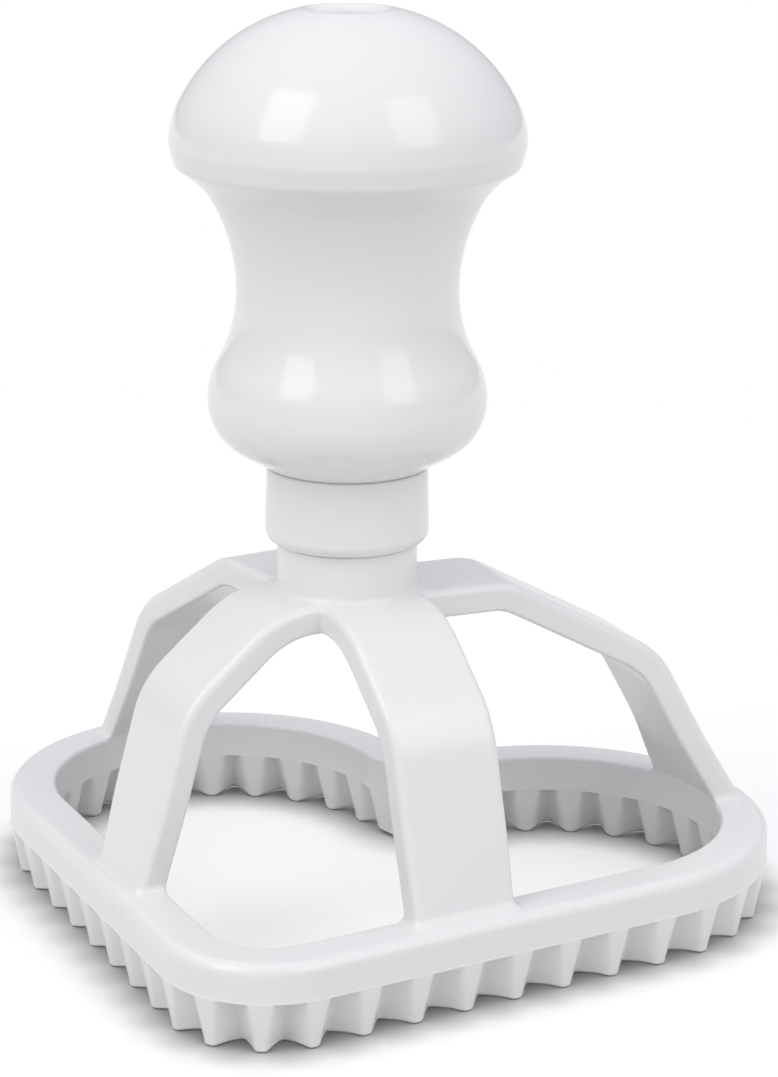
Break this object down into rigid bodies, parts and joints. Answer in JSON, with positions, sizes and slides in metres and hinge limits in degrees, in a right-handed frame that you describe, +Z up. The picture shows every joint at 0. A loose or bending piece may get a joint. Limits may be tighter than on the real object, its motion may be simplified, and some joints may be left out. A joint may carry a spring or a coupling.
{
  "type": "ravioli stamp",
  "caption": "Heart-shaped plastic ravioli stamp: a fluted cutting wall under a smooth ring, bent arms up to a neck, and a mushroom-shaped knob handle.",
  "frame": {"origin": "centre of the heart's bounding box, on the plane of the cutting edge, under the knob's axis", "axes": "+Z up along the knob's axis; -Y towards the heart's tip, +Y towards its lobes; X across the heart"},
  "size_m": [0.08, 0.0694, 0.0912],
  "materials": {
    "knob_plastic": "smooth glossy white moulded plastic",
    "cutter_plastic": "smooth semi-gloss white moulded plastic"
  },
  "bodies": {
    "root": {"handle": "knob_plastic", "cutter": "cutter_plastic"}
  },
  "joints": []
}
